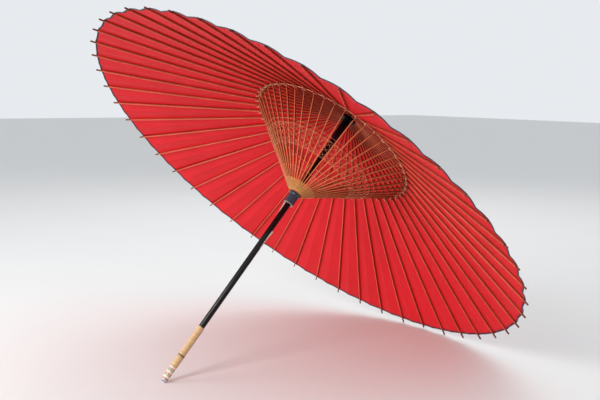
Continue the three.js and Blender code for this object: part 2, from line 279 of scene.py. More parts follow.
def strands(name, parts, radius, sides, normal, finish):
    """Round threads as one mesh. Each part is an array of paths of equally many points.

    Each path point gets a ring of points: the path, plus radius times cosine along the thread's
    normal and sine along its binormal, which is the tangent crossed with the normal. Flat ends
    close each thread.
    """
    turn = np.linspace(0, 2 * np.pi, sides, endpoint=False)
    ends = np.arange(sides)
    points, faces, uv, start = [], [], [], 0
    for paths in parts:
        count, steps = paths.shape[:2]
        along = np.gradient(paths, axis=1)
        along /= np.linalg.norm(along, axis=2, keepdims=True)
        binormal = np.cross(along, normal)
        binormal /= np.linalg.norm(binormal, axis=2, keepdims=True)
        upright = np.cross(binormal, along)
        rings = (
            paths[:, :, None]
            + radius * np.cos(turn)[:, None] * upright[:, :, None]
            + radius * np.sin(turn)[:, None] * binormal[:, :, None]
        )
        points.append(rings.reshape(-1, 3))
        run = np.linspace(0, 1, steps)[None, :, None] * steps * THREAD_UV_STEP
        lane = (turn / (2 * np.pi))[None, None]
        shape = rings.shape[:3]
        grid = np.stack([np.broadcast_to(lane, shape), np.broadcast_to(run, shape)], -1)
        uv.append(grid.reshape(-1, 2))
        firsts = start + (np.arange(count) * steps * sides)[:, None]
        faces += (grid_faces(steps, sides, False, True) + firsts[:, None]).reshape(-1, 4).tolist()
        faces += (ends + firsts).tolist()
        faces += (ends[::-1] + firsts + (steps - 1) * sides).tolist()
        start += count * steps * sides
    piece = add_mesh(name, np.concatenate(points), faces, np.concatenate(uv), finish)
    return close_up(piece, seams=False)


def fold_with(piece, kind, index):
    """The piece rides on a numbered body, with a mesh of its own."""
    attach(piece, numbered(kind, index))
    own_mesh(piece)
    return piece


# ---- shader making ----
def math_method(operation, swapped=False):
    """A method that adds one Math node; swapped puts the other value first."""

    def method(self, *others):
        values = (*others, self) if swapped else (self, *others)
        node = self.finish.node("ShaderNodeMath", {"operation": operation})
        for slot, value in zip(node.inputs, values):
            self.finish.put(slot, value)
        return Value(self.finish, node.outputs[0])

    return method


class Value:
    """A shader socket that takes plain arithmetic: each operation adds one Math node."""

    def __init__(self, finish, socket):
        self.finish = finish
        self.socket = socket

    __add__ = math_method("ADD")
    __sub__ = math_method("SUBTRACT")
    __rsub__ = math_method("SUBTRACT", swapped=True)
    __mul__ = math_method("MULTIPLY")
    __truediv__ = math_method("DIVIDE")
    __lt__ = math_method("LESS_THAN")
    __gt__ = math_method("GREATER_THAN")
    __abs__ = math_method("ABSOLUTE")
    sine = math_method("SINE")
    fraction = math_method("FRACT")

    def smooth(self, low, high):
        """0 below low, 1 above high, and an even ramp between."""
        node = self.finish.node("ShaderNodeMapRange", {"interpolation_type": "SMOOTHSTEP"})
        self.finish.put(node.inputs["Value"], self)
        node.inputs["From Min"].default_value = low
        node.inputs["From Max"].default_value = high
        return Value(self.finish, node.outputs["Result"])


class Finish:
    """A material under construction, with its Principled shader ready to fill."""

    def __init__(self, name, roughness, metallic=0.0, coat=0.0, coat_roughness=0.1, specular=0.5):
        self.material = bpy.data.materials.new(name)
        self.material.use_nodes = True
        self.tree = self.material.node_tree
        self.shader = self.tree.nodes["Principled BSDF"]
        settings = {
            "Roughness": roughness,
            "Metallic": metallic,
            "Coat Weight": coat,
            "Coat Roughness": coat_roughness,
            "Specular IOR Level": specular,
        }
        for key, value in settings.items():
            self.shader.inputs[key].default_value = value

    def put(self, slot, value):
        """Links a Value or socket to a slot, or sets it to a number or a three-channel colour."""
        if isinstance(value, Value):
            self.tree.links.new(value.socket, slot)
        elif isinstance(value, bpy.types.NodeSocket):
            self.tree.links.new(value, slot)
        else:
            slot.default_value = (*value, 1) if isinstance(value, tuple) else value

    def node(self, kind, settings=None, **sockets):
        """A node of any kind: its settings first, then the values or links of its sockets."""
        node = self.tree.nodes.new(kind)
        for key, value in (settings or {}).items():
            setattr(node, key, value)
        for key, value in sockets.items():
            self.put(node.inputs[key], value)
        return node

    def uv(self):
        """The two UV coordinates as Values."""
        source = self.node("ShaderNodeUVMap", {"uv_map": "UVMap"})
        split = self.node("ShaderNodeSeparateXYZ", Vector=source.outputs[0])
        return Value(self, split.outputs[0]), Value(self, split.outputs[1])

    def vector(self, x, y):
        """Two Values or numbers as one vector socket."""
        return self.node("ShaderNodeCombineXYZ", X=x, Y=y).outputs[0]

    def noise(self, scale, detail, roughness=0.5, where=None):
        """A noise Value from 0 to 1 at a vector socket, or else over Object coordinates."""
        where = where or self.node("ShaderNodeTexCoord").outputs["Object"]
        node = self.node("ShaderNodeTexNoise", Vector=where)
        node.inputs["Scale"].default_value = scale
        node.inputs["Detail"].default_value = detail
        node.inputs["Roughness"].default_value = roughness
        return Value(self, node.outputs["Fac"])

    def ramp(self, value, *stops):
        """A colour ramp of (position, colour) stops read at a Value."""
        node = self.node("ShaderNodeValToRGB", Fac=value)
        elements = node.color_ramp.elements
        while len(elements) < len(stops):
            elements.new(0.5)
        for element, (position, color) in zip(elements, stops):
            element.position = position
            element.color = (*color, 1)
        return node.outputs["Color"]

    def mix(self, share, first, second):
        """Two colours mixed by a share, through a Mix node."""
        node = self.node("ShaderNodeMix", {"data_type": "RGBA"}, Factor=share)
        for slot, value in ((6, first), (7, second)):
            self.put(node.inputs[slot], value)
        return node.outputs[2]

    def done(self, color, rough=None, height=None, distance=0.0, strength=0.5):
        """The material, with Base Color, Roughness and a Bump of a height in metres fed."""
        self.put(self.shader.inputs["Base Color"], color)
        if rough is not None:
            self.put(self.shader.inputs["Roughness"], rough)
        if height is not None:
            node = self.node("ShaderNodeBump", Height=height)
            node.inputs["Distance"].default_value = distance
            node.inputs["Strength"].default_value = strength
            self.put(self.shader.inputs["Normal"], node.outputs[0])
        return self.material

    def see_through(self, share, color):
        """Mixes a Translucent shader into the surface, so that light from behind glows through."""
        glow = self.node("ShaderNodeBsdfTranslucent")
        glow.inputs["Color"].default_value = (*color, 1)
        mixed = self.node("ShaderNodeMixShader")
        surface = self.tree.nodes["Material Output"].inputs["Surface"]
        self.put(mixed.inputs[0], share)
        self.put(mixed.inputs[1], self.shader.outputs[0])
        self.put(mixed.inputs[2], glow.outputs[0])
        self.put(surface, mixed.outputs[0])


MADE = {}


def material(maker, name, *colors):
    """A finish is made once and shared by the pieces that wear it."""
    if name not in MADE:
        MADE[name] = maker(name, *[tuple(color) for color in colors])
    return MADE[name]


def darker(color, share):
    """A colour multiplied by a share."""
    return tuple(channel * share for channel in color)


def lacquer(name, color, coat=0.14, specular=0.16):
    """Gloss lacquer: an even colour, a slightly uneven sheen and a clear coat."""
    finish = Finish(name, roughness=0.2, coat=coat, coat_roughness=0.05, specular=specular)
    cloud = finish.noise(120, 4)
    tone = finish.ramp(cloud, (0.3, darker(color, 0.7)), (0.7, color))
    return finish.done(tone, cloud * 0.12 + 0.12, finish.noise(900, 2), 0.00003)


def paper(name, color, border):
    """Oiled paper: long fibres, cloudy oil, a crease down each fold with painted shade along it,
    glue and painted shade beside each rib, a dark bound rim, and glow.
    """
    finish = Finish(name, roughness=0.5, specular=0.35)
    across, along = finish.uv()
    cloud = finish.noise(9, 4)
    fibre = finish.noise(840, 5, 0.7)
    shade = cloud.smooth(0.25, 0.75) * 0.5 + fibre.smooth(0.35, 0.75) * 0.5
    base = finish.mix(shade, darker(color, 0.80), color)
    crease = 1 - abs(abs(across) - 0.5).smooth(0.004, 0.022)
    glue_and_rib_shade = abs(abs(abs(across) - 0.5) - 0.5).smooth(0.02, 0.085)
    # Painted shade: the paper darkens along the crease down the middle of each fold.
    base = finish.mix(crease * 0.42, base, darker(color, 0.45))
    # Darker beside each rib: partly glue, partly painted shade where the rib meets the paper.
    base = finish.mix((1 - glue_and_rib_shade) * 0.38, base, darker(color, 0.5))
    rim = PAPER_EDGE - RIM_BINDING
    bound = along.smooth((rim - 0.0005) / RIB_LENGTH, rim / RIB_LENGTH)
    base = finish.mix(bound * 0.93, base, border)
    finish.see_through(0.44 - bound * 0.42, darker(color, 0.92))
    return finish.done(base, fibre * 0.2 + 0.38, fibre + crease * -1.5, 0.00012, 0.6)


def bamboo(name, color, dark, tip=None):
    """Split bamboo: grain, a shade of its own on each rib, painted shade towards its upper end, and
    a darker end past tip, if given.
    """
    finish = Finish(name, roughness=0.36, specular=0.9)
    finish.shader.inputs["Specular Tint"].default_value = (1.0, 0.46, 0.24, 1)
    along, _ = finish.uv()
    own = finish.noise(21, 2)
    grain = finish.noise(400, 4, 0.7)
    base = finish.mix(own.smooth(0.3, 0.7), darker(color, 0.78), color)
    base = finish.mix(grain.smooth(0.35, 0.75) * 0.45, base, dark)
    # Painted shade: a rib darkens towards the head, a stretcher towards its rib joint.
    painted_upper_shade = 1 - along.smooth(0.03, 0.19)
    base = finish.mix(painted_upper_shade * 0.6, base, darker(dark, 0.8))
    if tip is not None:
        # Each rib darkens past tip, beyond the paper's edge.
        dark_end = along.smooth(tip - 0.0012, tip)
        base = finish.mix(dark_end * 0.9, base, darker(dark, 0.3))
    return finish.done(base, grain * 0.25 + 0.3, grain, 0.00008)


def bamboo_pale(name, color):
    """Pale polished bamboo skin with faint grain."""
    finish = Finish(name, roughness=0.3, coat=0.3, coat_roughness=0.2)
    grain = finish.noise(480, 4, 0.7)
    tone = finish.ramp(grain, (0.3, darker(color, 0.62)), (0.7, color))
    return finish.done(tone, grain * 0.2 + 0.22, grain, 0.00005, 0.4)


def thread(name, color):
    """Twisted thread: slanting strands round it, paler on their crowns."""
    finish = Finish(name, roughness=0.55, specular=0.4)
    lane, along = finish.uv()
    twist = (along * 900 + lane * 2 * math.pi).sine() * 0.5 + 0.5
    fleck = finish.noise(800, 3)
    tone = finish.mix(twist * 0.4 + fleck * 0.25, color, darker(color, 0.45))
    return finish.done(tone, height=twist, distance=0.00006, strength=0.6)


def rattan(name, color, dark_low, dark_high, pitch):
    """Wound rattan: each turn its own shade, dark in the joints, with one stained turn."""
    finish = Finish(name, roughness=0.36, coat=0.25, coat_roughness=0.3)
    around, run = finish.uv()
    phase = run / pitch - around
    valley = abs(phase.fraction() - 0.5).smooth(0.36, 0.5)
    fibre = finish.noise(6, 4, 0.7, where=finish.vector(around * 3, run * 600))
    strip = finish.noise(2, 2, where=finish.vector(phase * 0.5, 0.0))
    base = finish.mix(strip.smooth(0.3, 0.7), darker(color, 0.72), color)
    base = finish.mix(fibre.smooth(0.4, 0.8) * 0.35, base, darker(color, 0.5))
    base = finish.mix(valley * 0.8, base, darker(color, 0.16))
    stained = (run > dark_low) * (run < dark_high)
    base = finish.mix(stained * 0.92, base, (0.03, 0.012, 0.008))
    return finish.done(base, fibre * 0.2 + 0.3, fibre, 0.00006)


def stripes(name, light, dark, second):
    """A plain printed paper band: stripes round the shaft, crossed by a row of small checks."""
    finish = Finish(name, roughness=0.4, coat=0.3, coat_roughness=0.2)
    around, run = finish.uv()
    level = (run * STRIPES_PER_METRE).fraction()
    stops = ((0.0, dark), (0.30, dark), (0.34, light), (0.60, light), (0.64, second), (1.0, second))
    base = finish.ramp(level, *stops)
    check = (around * 2 * math.pi * CHECKS_ROUND).sine() * (run * CHECKS_ALONG).sine()
    fleck = finish.noise(900, 3)
    base = finish.mix(check.smooth(-0.1, 0.1) * 0.75, base, light)
    base = finish.mix(fleck.smooth(0.45, 0.75) * 0.35, base, (0.05, 0.03, 0.02))
    return finish.done(base, fleck * 0.2 + 0.32, fleck, 0.00005)


def metal(name, color):
    """Turned bright metal with fine lathe marks."""
    finish = Finish(name, roughness=0.22, metallic=1.0)
    around, run = finish.uv()
    marks = finish.noise(4, 3, where=finish.vector(around * 2, run * 3000))
    tone = finish.mix(marks * 0.5, color, darker(color, 0.6))
    return finish.done(tone, marks * 0.2 + 0.14, marks, 0.00002, 0.4)


def waxed(name, color):
    """Dark waxed paper, folded: soft sheen and worn crowns."""
    finish = Finish(name, roughness=0.45, coat=0.2, coat_roughness=0.3)
    worn = finish.noise(240, 5, 0.65)
    tone = finish.ramp(worn, (0.35, color), (0.75, darker(color, 2.6)))
    return finish.done(tone, worn * 0.3 + 0.3, worn, 0.00015, 0.6)


# ---- settings a user would change ----
def colour(name, description, value):
    """A colour property in linear light."""
    return bpy.props.FloatVectorProperty(
        name=name, description=description, default=value, subtype="COLOR", size=3, min=0, max=1
    )


def length(name, description, value):
    """A length property in metres."""
    return bpy.props.FloatProperty(
        name=name, description=description, default=value, unit="LENGTH", precision=5, min=0
    )


class UmbrellaSizes(bpy.types.PropertyGroup):
    """Sizes of the fine pieces that the fixed frame leaves free."""

    rib_width: length("Rib width", "Width of an outer rib past its joint", 0.0021)
    stretcher_width: length("Stretcher width", "Width of a stretcher at its middle", 0.0019)
    paper_thickness: length("Paper thickness", "Thickness of the oiled paper", 0.00034)
    crease_depth: length("Crease depth", "How far each fold's crease dips at the rim", 0.0031)
    thread_radius: length("Thread radius", "Radius of the coloured threads", 0.00030)
    wrap_pitch: length("Wrap pitch", "Height of one turn of the rattan wrap", 0.0031)


class UmbrellaColours(bpy.types.PropertyGroup):
    """Base colours, in linear light."""

    paper: colour("Paper", "Oiled paper", (0.86, 0.026, 0.040))
    # rib, darkened, also gives the ribs' sides their painted shade.
    rib: colour("Rib", "Outer ribs", (0.86, 0.125, 0.068))
    # rib_dark also colours the painted shade towards the ribs' heads, and their darker ends past
    # the paper.
    rib_dark: colour("Rib shade", "Grain and stained ends of the ribs", (0.34, 0.028, 0.016))
    # stretcher, darkened, also gives the stretchers' sides their painted shade.
    stretcher: colour("Stretcher", "Stretchers", (0.86, 0.225, 0.080))
    # stretcher_dark also colours the painted shade towards the stretchers' rib joints.
    stretcher_dark: colour("Stretcher shade", "Grain of the stretchers", (0.46, 0.060, 0.020))
    black: colour("Black lacquer", "Shaft and head", (0.0045, 0.0036, 0.0042))
    teal: colour("Teal lacquer", "Runner", (0.017, 0.056, 0.080))
    pale: colour("Pale bamboo", "Collar and latches", (0.56, 0.50, 0.40))
    rattan: colour("Rattan", "Wound grip", (0.66, 0.42, 0.20))
    gold: colour("Gold thread", "Close winding over the runner", (0.86, 0.50, 0.15))
    cream: colour("Cream thread", "Cord at the joints", (0.95, 0.60, 0.36))
    net: colour("Net thread", "Thread of the net between the stretchers", (0.88, 0.36, 0.18))
    band_light: colour("Band light", "Light stripe of the printed band", (0.74, 0.66, 0.50))
    band_dark: colour("Band red", "Red stripe of the printed band", (0.42, 0.035, 0.025))
    band_second: colour("Band green", "Green stripe of the printed band", (0.07, 0.16, 0.09))
    metal: colour("Metal", "Ferrule", (0.66, 0.66, 0.68))
    edge: colour("Rim edge", "Bound rim of the paper, and the cap's cord", (0.034, 0.042, 0.066))
    cap: colour("Cap", "Folded cap over the head", (0.020, 0.022, 0.030))
    floor: colour("Floor", "Plain floor", (0.67, 0.665, 0.66))


def sizes():
    """The sizes set in the panel."""
    return bpy.context.scene.umbrella_sizes


def colours():
    """The colours set in the panel."""
    return bpy.context.scene.umbrella_colours


# ---- the pieces ----
def rib_share(along):
    """Width of an outer rib as a share of its full width: thin in the head, full past 0.15 m."""
    places = [RIB_START, 0.016, 0.06, 0.15, 0.5, RIB_LENGTH]
    return np.interp(along, places, [0.34, 0.46, 0.78, 1, 1, 0.84])


def rib_depth(along):
    """Half the depth of an outer rib: a taper, plus a bell-shaped swell at each bamboo node."""
    places = [RIB_START, 0.016, 0.06, 0.5, RIB_LENGTH]
    depth = np.interp(along, places, [0.0012, 0.0014, 0.002, 0.002, 0.0015])
    for node in RIB_NODES:
        depth = depth + 0.00028 * np.exp(-(((along - node) / 0.0022) ** 2))
    return depth


def blade_uv(along, out):
    """UV of a blade's points: the distance along it, and 300 times the distance out."""
    return np.stack(np.broadcast_arrays(along, out * 300), -1)


def outer_rib(name, azimuth, end, sides, face):
    """A rib in its own radial plane, with two cheeks that hold the stretcher.

    A point lies so far along the rib's straight middle line and so far out from it. The cheeks are
    two small plates beside that plane, from the rib down to just past the joint.
    """
    bends = [RIB_START, 0.004, 0.016, 0.035, 0.06, 0.10, 0.15, 0.176, 0.192, 0.22, 0.31, 0.36, 0.49]
    swells = [node + step for node in RIB_NODES for step in (-0.006, -0.0025, 0, 0.0025, 0.006)]
    tip = [end - 0.011, end - 0.0098, end - 0.001, end]
    along = np.sort(bends + swells + tip)
    depth = rib_depth(along)
    depth[-1] *= 0.7
    out = depth[:, None] * np.array([-1, 0, 1])
    radius, height = on_rib(along[:, None], out)
    points = [polar(radius, azimuth, height).reshape(-1, 3)]
    uv = [blade_uv(along[:, None], out).reshape(-1, 2)]
    shares = [np.repeat(rib_share(along), 3)]
    faces = [grid_faces(len(along), 3)]

    cheek = JOINT_DISTANCE + np.array([-0.0078, -0.005, 0.005, 0.0078])
    low = np.array([-0.0028, -0.0056, -0.0056, -0.0028])
    out = np.stack([low, low * 0.5 - 0.0008, np.full(4, -0.0016)], -1)
    radius, height = on_rib(cheek[:, None], out)
    for side in (-1, 1):
        faces.append(grid_faces(4, 3) + sum(len(part) for part in points))
        points.append(beside(radius, azimuth, height, side * 0.00105).reshape(-1, 3))
        uv.append(blade_uv(cheek[:, None], out).reshape(-1, 2))
        shares.append(np.full(12, 0.26))
    faces = np.concatenate(faces).tolist()
    # sides finishes the broad side faces, in painted shade; face finishes the narrow faces.
    piece = add_mesh(name, np.concatenate(points), faces, np.concatenate(uv), sides)
    thicken(piece, sizes().rib_width, np.concatenate(shares), face)
    return piece


def stretcher(name, azimuth, sides, face):
    """A stretcher in its own radial plane, from its tongue in the rib to that in the runner."""
    start, full, end = -0.0022, STRETCHER_LENGTH, STRETCHER_LENGTH + 0.0012
    bends = [0, 0.006, 0.010, 0.03, 0.06, 0.10, 0.14, 0.165, 0.19, 0.205]
    along = np.array([start, *bends, full - 0.004, end])
    depth = np.interp(along, [start, 0, 0.02, 0.19, end], [0.0009, 0.0016, 0.0017, 0.0016, 0.0009])
    places = [0, 0.006, 0.012, 0.06, 0.15, full - 0.02, full - 0.004]
    share = np.interp(along, places, [0.40, 0.40, 0.85, 1, 0.95, 0.55, 0.34])
    out = depth[:, None] * np.array([-1, 0, 1])
    radius, height = on_stretcher(along[:, None], out)
    points = polar(radius, azimuth, height)
    faces = grid_faces(len(along), 3).tolist()
    # sides finishes the broad side faces, in painted shade; face finishes the narrow faces.
    piece = add_mesh(name, points, faces, blade_uv(along[:, None], out), sides)
    thicken(piece, sizes().stretcher_width, np.repeat(share, 3), face)
    return piece


def panel_points(azimuth, across, along):
    """The paper between three ribs, from t = -1 to 1 with a jointed rib at 0.

    Radius and height come from the rib's line; each half runs straight from rib to rib, as
    (1 - |t|) times the middle rib's point and |t| times the side rib's. The fold between two ribs
    dips towards the shaft as a V, deepest in its middle and at the rim, its two faces belly out a
    little, and the rim itself draws in between the ribs.
    """
    t, a = np.broadcast_arrays(across[None], along[:, None])
    share = (a / RIB_LENGTH) ** 1.2
    fold = 1 - np.abs(np.abs(t) - 0.5) * 2
    belly = np.sin(np.pi * 2 * np.abs(np.abs(t) - 0.5)) ** 2
    valley = sizes().crease_depth * share * (fold**1.15 - 0.22 * belly)
    rim = np.clip((a - PAPER_EDGE + 0.05) / 0.05, 0, 1) ** 2
    drawn = a - 0.0010 * rim * np.sin(np.pi * np.abs(t)) ** 2
    radius, height = on_rib(drawn, PAPER_FACE - valley)
    middle = polar(radius, azimuth, height)
    side = polar(radius, azimuth + np.where(t < 0, -1, 1) * STEP / 2, height)
    weight = np.abs(t)[..., None]
    return (1 - weight) * middle + weight * side


def panel(index, finish):
    """One panel of paper, with its width at the rim, its length and its area as a sheet."""
    half = np.array([0, 0.1, 0.25, 0.4, 0.47, 0.5, 0.53, 0.6, 0.75, 0.9, 1])
    across = np.r_[-half[:0:-1], half]
    rim = PAPER_EDGE - 0.05
    along = np.r_[np.linspace(PAPER_START, rim, 22), np.linspace(rim + 0.008, PAPER_EDGE, 7)]
    points = panel_points(pair_azimuth(index), across, along)
    uv = np.stack(np.broadcast_arrays(across[None], along[:, None] / RIB_LENGTH), -1)
    faces = grid_faces(*points.shape[:2]).tolist()
    piece = add_mesh(numbered("paper_panel", index), points, faces, uv, finish)
    thicken(piece, sizes().paper_thickness)
    fold_with(piece, "rib_body", index)
    down, over = np.diff(points, axis=0), np.diff(points, axis=1)
    area = np.linalg.norm(np.cross(down[:, :-1], over[:-1]), axis=2).sum()
    width = np.linalg.norm(over[-1], axis=1).sum()
    return piece, float(width), PAPER_EDGE - PAPER_START, float(area)


def lanes_of(index):
    """The azimuths of a jointed rib and of the in-between ribs on its two sides, in order."""
    return pair_azimuth(index) + np.array([-1, 0, 1]) * STEP / 2


def net_paths(index):
    """The threads between neighbouring stretchers, as straight chords on their lower side.

    A stretcher's place is its azimuth; a height on it is a share of its length up from the runner.
    Rings go straight across, and the net's threads cross from one stretcher to the next.
    """
    lanes = lanes_of(index)

    def path(shares, out):
        radius, height = on_stretcher((1 - np.array(shares)) * STRETCHER_LENGTH, out)
        return polar(radius, lanes, height)

    close = [path([s] * 3, 0.0017) for s in 0.032 + 0.110 * np.linspace(0, 1, 17) ** 1.25]
    net_low, net_high = 0.478, 0.655
    rings = [path([s] * 3, 0.0020) for s in (0.262, 0.470, net_low, net_high, 0.663, 0.700)]
    levels = np.linspace(net_low, net_high, 4)
    net = []
    for low, high in zip(levels[:-1], levels[1:]):
        net.append(path([low, high, low], 0.0019))
        net.append(path([high, low, high], 0.0022))
    return np.array(close), np.array(rings + net)


def joint_paths(index):
    """The cord through the joints: from joint to joint, one turn round each, and a loose end.

    A turn is an ellipse, its depth by the cosine and its width by the sine. A loose end falls away
    as a parabola, and leans sideways by a step that differs from joint to joint.
    """
    lanes = lanes_of(index)
    radius, height = on_rib(JOINT_DISTANCE, -0.0027)
    ring = polar(radius, lanes, height)
    turn = np.linspace(0, 2 * np.pi, 9)
    run = np.linspace(0, 1, 4)
    loops, ends = [], []
    for number, lane in enumerate(lanes[1:]):
        for shift in (-0.0022, 0.0022):
            radius, height = on_rib(JOINT_DISTANCE + shift, -0.0030 + 0.0028 * np.cos(turn))
            loops.append(beside(radius, lane, height, 0.0017 * np.sin(turn)))
        lean = 0.0011 * ((index * 7 + number * 3) % 5 - 2)
        fall = -0.0040 - 0.0052 * run + 0.0032 * run**2
        radius, height = on_rib(JOINT_DISTANCE + 0.0075 * run, fall)
        ends.append(beside(radius, lane, height, lean * run))
    return np.array([ring]), np.array(loops), np.array(ends)


def slot_azimuths(width):
    """Four azimuths for each of the 48 slots: just outside and just inside its two walls."""
    centres = np.arange(2 * PAIRS) * STEP / 2
    half = width * STEP / 4
    sides = np.array([-half - 1e-4, -half, half, half + 1e-4])
    return (centres[:, None] + sides).ravel()


def slotted(depth_radius, low, high, width):
    """A shape for turned(): in a slot, between two heights, the radius is at most the slot's floor.

    width is a slot's share of the space from one slot to the next.
    """

    def shape(radius, height, azimuth):
        offset = (azimuth / (STEP / 2) + 0.5) % 1 - 0.5
        inside = np.abs(offset) <= width / 2 + 1e-5
        within = inside & (height > low) & (height < high)
        return np.where(within, np.minimum(radius, depth_radius), radius), height

    return shape


def ride(piece, body):
    """The piece stays on a body."""
    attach(piece, body)
    return piece


class UMBRELLA_OT_shaft(bpy.types.Operator):
    """Give the shaft and the two latches their finishes, keeping their fixed shapes"""

    bl_idname = "umbrella.shaft"
    bl_label = "Shaft and Latches"

    def execute(self, context):
        black = material(lacquer, "black_lacquer", colours().black)
        pale = material(bamboo_pale, "pale_bamboo_latch", colours().pale)
        for name, finish in (("shaft", black), ("latch_lower", pale), ("latch_upper", pale)):
            node = frame["nodes"][name]
            node.data.materials.clear()
            node.data.materials.append(finish)
            weld = node.modifiers.new("weld", "WELD")
            weld.merge_threshold = 1e-5
            soften = node.modifiers.new("edges", "BEVEL")
            soften.width = 0.00022
            soften.segments = 2
            soften.limit_method = "ANGLE"
            soften.angle_limit = math.radians(40)
            soften.harden_normals = True
            node.data.polygons.foreach_set("use_smooth", np.full(len(node.data.polygons), True))
        return {"FINISHED"}


class UMBRELLA_OT_grip(bpy.types.Operator):
    """Wind the rattan round the grip, with one dark turn"""

    bl_idname = "umbrella.grip"
    bl_label = "Rattan Grip"

    def execute(self, context):
        pitch = sizes().wrap_pitch
        low, high, inner, outer = BAND_TOP + 0.0003, GRIP_TOP, 0.00635, 0.0073
        heights = np.linspace(low, high, 240)
        wall = np.stack([np.full(len(heights), outer), heights], -1)
        outline = np.r_[[[inner, low]], wall, [[inner, high]]]

        def wound(radius, height, azimuth):
            # Each turn is a shallow arc: the radius falls by the fourth power of the distance from
            # its crown. Both ends of the wrap are rounded off by the square.
            phase = ((height - low) / pitch - azimuth / (2 * np.pi)) % 1
            crown = 1 - np.abs(2 * phase - 1) ** 4
            end = np.minimum(height - low, high - height) / 0.0012
            drop = 0.00042 * (1 - crown) + 0.0005 * np.clip(1 - end, 0, 1) ** 2
            return np.where(radius > (inner + outer) / 2, radius - drop, radius), height

        dark = DARK_TURN_TOP - low + (outer - inner)
        finish = rattan("rattan_wrap", tuple(colours().rattan), dark - pitch, dark, pitch)
        piece = turned("rattan_wrap", outline, finish, 64, True, wound)
        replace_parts(ride(piece, "shaft_body"), "grip_wrap")
        return {"FINISHED"}


class UMBRELLA_OT_foot(bpy.types.Operator):
    """Make the printed paper band and the metal ferrule below it"""

    bl_idname = "umbrella.foot"
    bl_label = "Band and Ferrule"

    def execute(self, context):
        c = colours()
        band = material(stripes, "printed_band", c.band_light, c.band_dark, c.band_second)
        inner, outer, low = 0.00635, 0.00685, 0.0065
        corners = [(inner, low), (outer, low), (outer, BAND_TOP), (inner, BAND_TOP)]
        piece = turned("printed_band", rounded(corners, 0.0002), band, 64, True)
        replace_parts(ride(piece, "shaft_body"), "paper_band")
        bright = material(metal, "bright_metal", c.metal)
        tip = [
            *((0, 0), (0.0030, 0), (0.0034, 0.0003), (0.0044, 0.0018), (0.0058, 0.0040)),
            *((0.0064, 0.0046), (0.0064, 0.0058), (0.0061, 0.0062), (0, 0.0062)),
        ]
        piece = turned("metal_ferrule", tip, bright, 64)
        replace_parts(ride(piece, "shaft_body"), "ferrule")
        return {"FINISHED"}


class UMBRELLA_OT_head(bpy.types.Operator):
    """Turn the slotted head that the ribs hang from, and the slim barrel below it"""

    bl_idname = "umbrella.head"
    bl_label = "Head"

    def execute(self, context):
        black = material(lacquer, "black_lacquer", colours().black)
        bore, slim, wide, slot_floor = 0.0065, 0.0083, 0.0170, 0.0112
        low, end = 0.612, HEAD_BOTTOM - 0.0002
        corners = [(bore, low), (0.0076, low), (slim, low + 0.004), (slim, end), (bore, end)]
        barrel = turned("head_barrel", rounded(corners, 0.0003), black, 96, True)
        ride(barrel, "shaft_body")
        slot_top, share = HEAD_HINGE_HEIGHT + 0.0045, 0.64
        rows = [
            *((bore, HEAD_BOTTOM), (slot_floor, HEAD_BOTTOM), (0.0165, HEAD_BOTTOM)),
            *((wide, HEAD_BOTTOM + 0.0005), (wide, slot_top - 1e-5), (wide, slot_top + 1e-5)),
            *((wide, HEAD_TOP - 0.005), (0.0120, HEAD_TOP), (bore, HEAD_TOP)),
        ]
        cut = slotted(slot_floor, 0.0, slot_top, share)
        piece = turned("slotted_head", rows, black, slot_azimuths(share), True, cut, False)
        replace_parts(ride(piece, "shaft_body"), "head_hub")
        return {"FINISHED"}


class UMBRELLA_OT_cap(bpy.types.Operator):
    """Pleat the dark cap over the head and tie it round"""

    bl_idname = "umbrella.cap"
    bl_label = "Head Cap"

    def execute(self, context):
        dark = material(waxed, "waxed_paper", colours().cap)
        skirt_radius, wall, tip = 0.0440, 0.0010, 0.0070
        _, skirt = on_rib((skirt_radius - HEAD_HINGE_RADIUS) / math.sin(OPEN), PAPER_FACE + 0.0009)
        outer = [
            *((skirt_radius, 0.0010), (0.0400, 0.0034), (0.0330, 0.0074), (0.0262, 0.0114)),
            *((0.0195, 0.0180), (0.0160, 0.0250), (0.0126, 0.0320), (0.0106, 0.0380)),
            (0.0112, 0.0410),
        ]
        inner = [
            *((0.0112, 0.0400), (0.0106, 0.0370), (0.0126, 0.0315), (0.0195, 0.0178)),
            *((0.0262, 0.0112), (0.0330, 0.0074), (0.0400, 0.0034)),
        ]
        outline = [
            *((r, skirt + z) for r, z in outer),
            *((0.0104, CAP_TOP - wall), (tip, CAP_TOP), (0, CAP_TOP)),
            *((0, CAP_TOP - 0.0012), (tip, CAP_TOP - 0.0018)),
            *((r - wall, skirt + z - 0.0009) for r, z in inner),
            (skirt_radius - 0.0004, skirt + 0.0003),
        ]

        def pleated(r, z, azimuth):
            # The cap rises and falls once per pleat, more towards its skirt.
            wave = np.cos(azimuth * 2 * PAIRS)
            share = np.clip((r - 0.010) / (skirt_radius - 0.010), 0, 1)
            return r * (1 + 0.02 * wave * share), z + 0.0007 * (wave + 1) * share

        piece = turned("pleated_cap", outline, dark, 4 * 2 * PAIRS, False, pleated)
        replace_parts(ride(piece, "shaft_body"), "head_cap")
        cord = material(thread, "dark_cord", colours().edge)
        turn = np.linspace(0, 2 * np.pi, 49)
        levels = skirt + 0.0378 + 0.0008 * np.array([[-1], [0], [1]])
        loops = polar(0.0114, turn, levels)
        tie = strands("cap_cord", [loops], 0.00045, 6, -SHAFT_AXIS, cord)
        ride(tie, "shaft_body")
        return {"FINISHED"}


